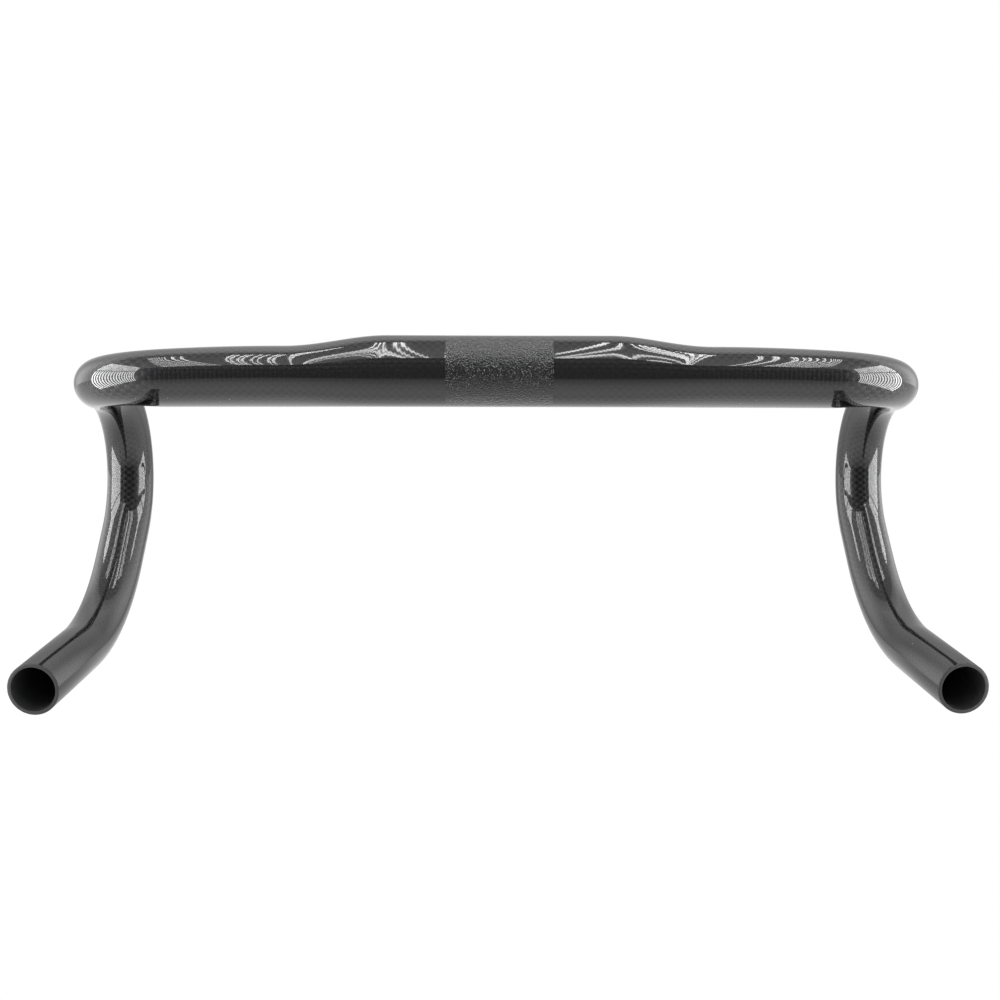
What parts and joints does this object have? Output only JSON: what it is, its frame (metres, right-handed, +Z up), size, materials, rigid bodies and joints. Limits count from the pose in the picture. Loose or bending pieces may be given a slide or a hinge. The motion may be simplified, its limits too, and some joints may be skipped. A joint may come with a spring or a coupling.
{
  "type": "road bike handlebar",
  "caption": "Drop handlebar moulded as one hollow tube: round stem clamp, flattened oval tops, forward bends, curved hooks and outswept open-ended drops.",
  "frame": {"origin": "middle of the stem clamp, on its axis", "axes": "+X along the bar to the rider's right, +Y forward in the riding direction, +Z up"},
  "size_m": [0.4094, 0.1436, 0.1629],
  "materials": {
    "carbon": "woven carbon fibre in epoxy under a gloss clear coat"
  },
  "bodies": {
    "root": {"handlebar": "carbon"}
  },
  "joints": []
}
